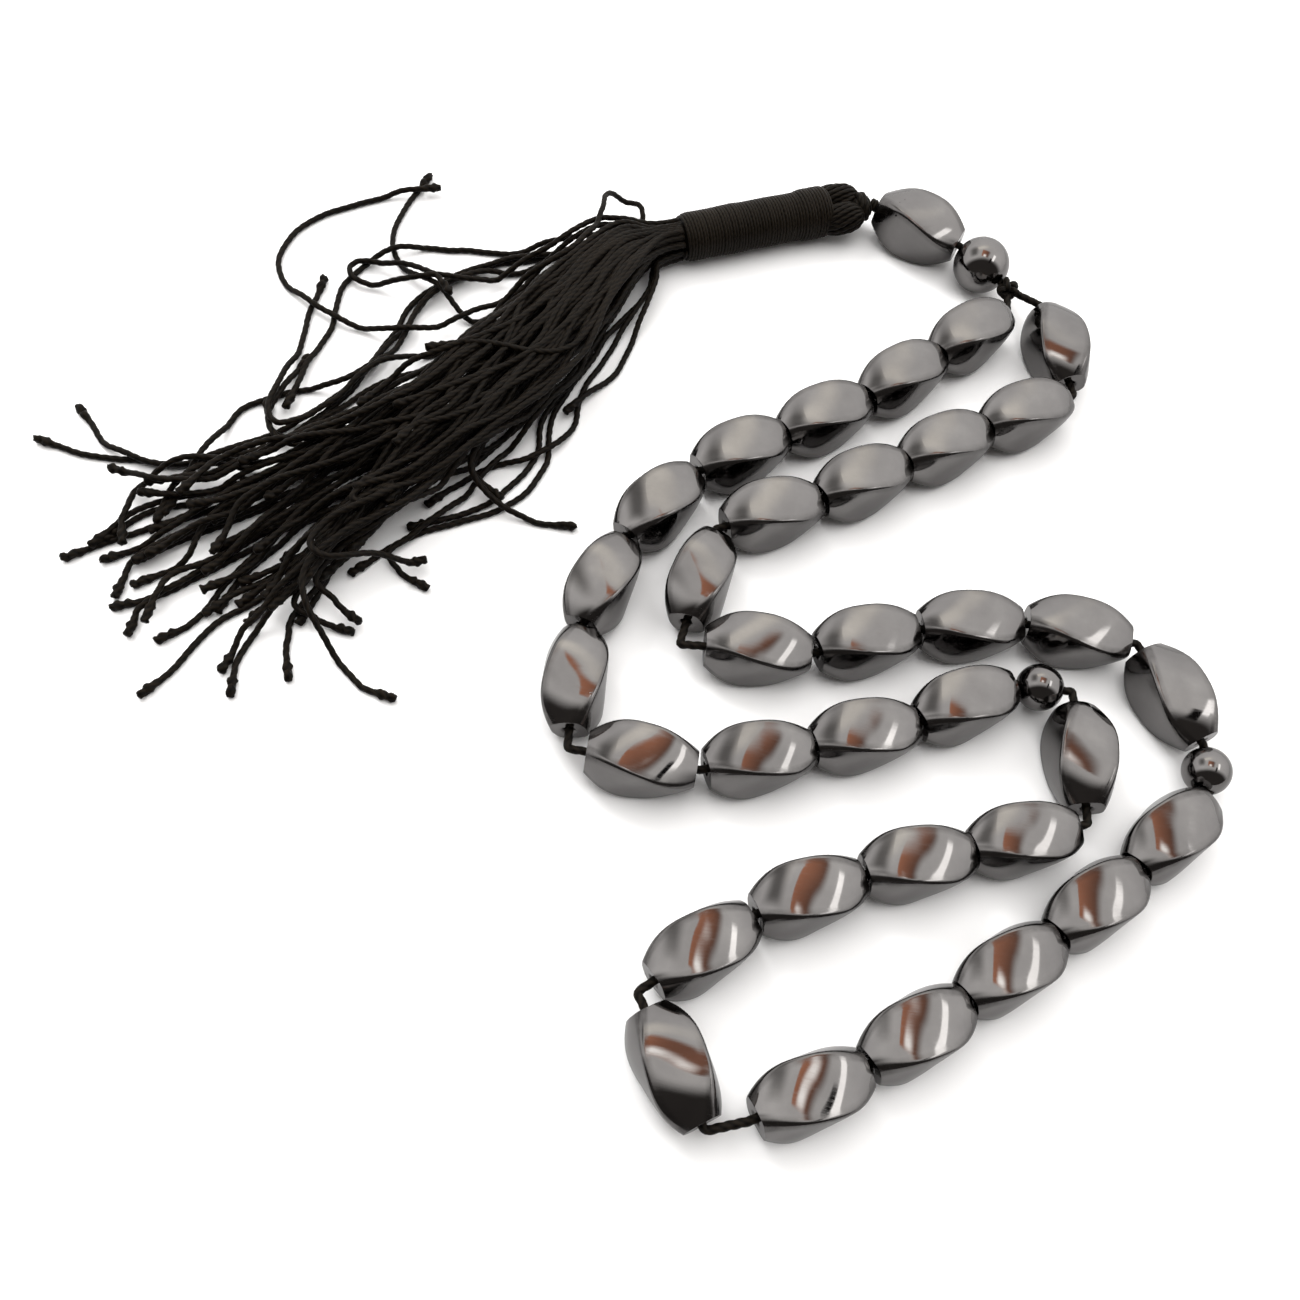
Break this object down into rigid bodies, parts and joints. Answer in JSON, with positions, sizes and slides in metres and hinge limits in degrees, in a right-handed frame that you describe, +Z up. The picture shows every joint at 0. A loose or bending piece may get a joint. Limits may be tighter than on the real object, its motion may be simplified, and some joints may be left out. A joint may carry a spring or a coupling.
{
  "type": "prayer beads",
  "caption": "Loop of twisted polished stone beads on a cord with round dividers, a head ball, a long bead and a bound cord tassel.",
  "frame": {"origin": "on the surface the beads lie on, straight below the main knot where the two sides of the loop and the neck meet", "axes": "+Z up from the surface; the loop lies towards -Y of the origin and the tassel towards -X"},
  "size_m": [0.1437, 0.1261, 0.0076],
  "materials": {
    "polished_hematite": "polished",
    "black_cord": "satin",
    "binding_thread": "matte"
  },
  "bodies": {
    "cord_loop": {"string_cord": "black_cord", "main_knot": "black_cord"},
    "bead_01": {"bead_01": "polished_hematite"},
    "bead_02": {"bead_02": "polished_hematite"},
    "bead_03": {"bead_03": "polished_hematite"},
    "bead_04": {"bead_04": "polished_hematite"},
    "bead_05": {"bead_05": "polished_hematite"},
    "bead_06": {"bead_06": "polished_hematite"},
    "bead_07": {"bead_07": "polished_hematite"},
    "bead_08": {"bead_08": "polished_hematite"},
    "bead_09": {"bead_09": "polished_hematite"},
    "bead_10": {"bead_10": "polished_hematite"},
    "bead_11": {"bead_11": "polished_hematite"},
    "bead_12": {"bead_12": "polished_hematite"},
    "bead_13": {"bead_13": "polished_hematite"},
    "bead_14": {"bead_14": "polished_hematite"},
    "bead_15": {"bead_15": "polished_hematite"},
    "bead_16": {"bead_16": "polished_hematite"},
    "bead_17": {"bead_17": "polished_hematite"},
    "bead_18": {"bead_18": "polished_hematite"},
    "bead_19": {"bead_19": "polished_hematite"},
    "bead_20": {"bead_20": "polished_hematite"},
    "bead_21": {"bead_21": "polished_hematite"},
    "bead_22": {"bead_22": "polished_hematite"},
    "bead_23": {"bead_23": "polished_hematite"},
    "bead_24": {"bead_24": "polished_hematite"},
    "bead_25": {"bead_25": "polished_hematite"},
    "bead_26": {"bead_26": "polished_hematite"},
    "bead_27": {"bead_27": "polished_hematite"},
    "bead_28": {"bead_28": "polished_hematite"},
    "bead_29": {"bead_29": "polished_hematite"},
    "bead_30": {"bead_30": "polished_hematite"},
    "bead_31": {"bead_31": "polished_hematite"},
    "bead_32": {"bead_32": "polished_hematite"},
    "bead_33": {"bead_33": "polished_hematite"},
    "divider_1": {"divider_1": "polished_hematite"},
    "divider_2": {"divider_2": "polished_hematite"},
    "neck": {"neck_cord": "black_cord"},
    "head_ball": {"head_ball": "polished_hematite"},
    "imame_bead": {"imame_bead": "polished_hematite"},
    "tassel": {"tassel_collar": "black_cord", "hank_core": "black_cord", "hank_loops": "black_cord", "whipping": "binding_thread", "strands_1": "black_cord", "strands_2": "black_cord", "strands_3": "black_cord", "strands_4": "black_cord", "strands_5": "black_cord", "strands_6": "black_cord", "strands_7": "black_cord", "strands_8": "black_cord"}
  },
  "joints": [
    {"name": "bead_01_spin", "type": "hinge", "parent": "cord_loop", "child": "bead_01", "pos_m": [-0.00464, -0.00913, 0.00364], "axis": [-0.682, -0.7314, 0], "continuous": true},
    {"name": "bead_02_spin", "type": "hinge", "parent": "cord_loop", "child": "bead_02", "pos_m": [-0.01309, -0.01803, 0.00364], "axis": [-0.6947, -0.7193, 0], "continuous": true},
    {"name": "bead_03_spin", "type": "hinge", "parent": "cord_loop", "child": "bead_03", "pos_m": [-0.02239, -0.0264, 0.00364], "axis": [-0.788, -0.6157, 0], "continuous": true},
    {"name": "bead_04_spin", "type": "hinge", "parent": "cord_loop", "child": "bead_04", "pos_m": [-0.03204, -0.03394, 0.00364], "axis": [-0.788, -0.6157, 0], "continuous": true},
    {"name": "bead_05_spin", "type": "hinge", "parent": "cord_loop", "child": "bead_05", "pos_m": [-0.0406, -0.04345, 0.00364], "axis": [-0.5299, -0.848, 0], "continuous": true},
    {"name": "bead_06_spin", "type": "hinge", "parent": "cord_loop", "child": "bead_06", "pos_m": [-0.04549, -0.05526, 0.00364], "axis": [-0.225, -0.9744, 0], "continuous": true},
    {"name": "bead_07_spin", "type": "hinge", "parent": "cord_loop", "child": "bead_07", "pos_m": [-0.04638, -0.06799, 0.00364], "axis": [0.0872, -0.9962, 0], "continuous": true},
    {"name": "bead_08_spin", "type": "hinge", "parent": "cord_loop", "child": "bead_08", "pos_m": [-0.03755, -0.07595, 0.00364], "axis": [0.9998, 0.0175, 0], "continuous": true},
    {"name": "bead_09_spin", "type": "hinge", "parent": "cord_loop", "child": "bead_09", "pos_m": [-0.02499, -0.07328, 0.00364], "axis": [0.9205, 0.3907, 0], "continuous": true},
    {"name": "bead_10_spin", "type": "hinge", "parent": "cord_loop", "child": "bead_10", "pos_m": [-0.01373, -0.06839, 0.00364], "axis": [0.9135, 0.4067, 0], "continuous": true},
    {"name": "bead_11_spin", "type": "hinge", "parent": "cord_loop", "child": "bead_11", "pos_m": [-0.00271, -0.0624, 0.00364], "axis": [0.8387, 0.5446, 0], "continuous": true},
    {"name": "bead_12_spin", "type": "hinge", "parent": "cord_loop", "child": "bead_12", "pos_m": [0.01061, -0.06647, 0.00364], "axis": [0.1219, -0.9925, 0], "continuous": true},
    {"name": "bead_13_spin", "type": "hinge", "parent": "cord_loop", "child": "bead_13", "pos_m": [0.00443, -0.07718, 0.00364], "axis": [-0.9205, -0.3907, 0], "continuous": true},
    {"name": "bead_14_spin", "type": "hinge", "parent": "cord_loop", "child": "bead_14", "pos_m": [-0.00684, -0.08196, 0.00364], "axis": [-0.9205, -0.3907, 0], "continuous": true},
    {"name": "bead_15_spin", "type": "hinge", "parent": "cord_loop", "child": "bead_15", "pos_m": [-0.01801, -0.08753, 0.00364], "axis": [-0.866, -0.5, 0], "continuous": true},
    {"name": "bead_16_spin", "type": "hinge", "parent": "cord_loop", "child": "bead_16", "pos_m": [-0.02818, -0.09506, 0.00364], "axis": [-0.7314, -0.682, 0], "continuous": true},
    {"name": "bead_17_spin", "type": "hinge", "parent": "cord_loop", "child": "bead_17", "pos_m": [-0.02933, -0.10702, 0.00364], "axis": [0.5878, -0.809, 0], "continuous": true},
    {"name": "bead_18_spin", "type": "hinge", "parent": "cord_loop", "child": "bead_18", "pos_m": [-0.01572, -0.10715, 0.00364], "axis": [-0.8387, -0.5446, 0], "continuous": true},
    {"name": "bead_19_spin", "type": "hinge", "parent": "cord_loop", "child": "bead_19", "pos_m": [-0.00573, -0.09962, 0.00364], "axis": [-0.7547, -0.6561, 0], "continuous": true},
    {"name": "bead_20_spin", "type": "hinge", "parent": "cord_loop", "child": "bead_20", "pos_m": [0.00346, -0.09149, 0.00364], "axis": [-0.7431, -0.6691, 0], "continuous": true},
    {"name": "bead_21_spin", "type": "hinge", "parent": "cord_loop", "child": "bead_21", "pos_m": [0.01237, -0.08289, 0.00364], "axis": [-0.6947, -0.7193, 0], "continuous": true},
    {"name": "bead_22_spin", "type": "hinge", "parent": "cord_loop", "child": "bead_22", "pos_m": [0.02066, -0.07368, 0.00364], "axis": [-0.6428, -0.766, 0], "continuous": true},
    {"name": "bead_23_spin", "type": "hinge", "parent": "cord_loop", "child": "bead_23", "pos_m": [0.02118, -0.0568, 0.00364], "axis": [0.5446, -0.8387, 0], "continuous": true},
    {"name": "bead_24_spin", "type": "hinge", "parent": "cord_loop", "child": "bead_24", "pos_m": [0.00992, -0.05069, 0.00364], "axis": [1, 0, 0], "continuous": true},
    {"name": "bead_25_spin", "type": "hinge", "parent": "cord_loop", "child": "bead_25", "pos_m": [-0.00267, -0.05234, 0.00364], "axis": [0.9659, 0.2588, 0], "continuous": true},
    {"name": "bead_26_spin", "type": "hinge", "parent": "cord_loop", "child": "bead_26", "pos_m": [-0.01448, -0.05664, 0.00364], "axis": [0.9063, 0.4226, 0], "continuous": true},
    {"name": "bead_27_spin", "type": "hinge", "parent": "cord_loop", "child": "bead_27", "pos_m": [-0.02675, -0.06016, 0.00364], "axis": [0.9925, 0.1219, 0], "continuous": true},
    {"name": "bead_28_spin", "type": "hinge", "parent": "cord_loop", "child": "bead_28", "pos_m": [-0.03448, -0.05243, 0.00364], "axis": [-0.1219, -0.9925, 0], "continuous": true},
    {"name": "bead_29_spin", "type": "hinge", "parent": "cord_loop", "child": "bead_29", "pos_m": [-0.02729, -0.04177, 0.00364], "axis": [-0.8746, -0.4848, 0], "continuous": true},
    {"name": "bead_30_spin", "type": "hinge", "parent": "cord_loop", "child": "bead_30", "pos_m": [-0.0168, -0.03495, 0.00364], "axis": [-0.7986, -0.6018, 0], "continuous": true},
    {"name": "bead_31_spin", "type": "hinge", "parent": "cord_loop", "child": "bead_31", "pos_m": [-0.00702, -0.02759, 0.00364], "axis": [-0.7986, -0.6018, 0], "continuous": true},
    {"name": "bead_32_spin", "type": "hinge", "parent": "cord_loop", "child": "bead_32", "pos_m": [0.00294, -0.02035, 0.00364], "axis": [-0.8192, -0.5736, 0], "continuous": true},
    {"name": "bead_33_spin", "type": "hinge", "parent": "cord_loop", "child": "bead_33", "pos_m": [0.00688, -0.00859, 0.00364], "axis": [0.309, -0.9511, 0], "continuous": true},
    {"name": "divider_1_spin", "type": "hinge", "parent": "cord_loop", "child": "divider_1", "pos_m": [0.00582, -0.0586, 0.00364], "axis": [0.9986, 0.0523, 0], "continuous": true},
    {"name": "divider_2_spin", "type": "hinge", "parent": "cord_loop", "child": "divider_2", "pos_m": [0.02498, -0.06533, 0.00364], "axis": [0.0523, -0.9986, 0], "continuous": true},
    {"name": "neck_swing", "type": "hinge", "parent": "cord_loop", "child": "neck", "pos_m": [0, 0, 0.00379], "axis": [0, 0, 1], "range_deg": [-45, 0]},
    {"name": "head_ball_spin", "type": "hinge", "parent": "neck", "child": "head_ball", "pos_m": [-0.00376, 0.00339, 0.00379], "axis": [-0.7431, 0.6691, 0], "continuous": true},
    {"name": "imame_bead_spin", "type": "hinge", "parent": "neck", "child": "imame_bead", "pos_m": [-0.01273, 0.00832, 0.00379], "axis": [-0.9336, 0.3584, 0], "continuous": true},
    {"name": "tassel_lift", "type": "hinge", "parent": "neck", "child": "tassel", "pos_m": [-0.01908, 0.01076, 0.00379], "axis": [-0.309, 0.9511, 0], "range_deg": [0, 40]}
  ]
}
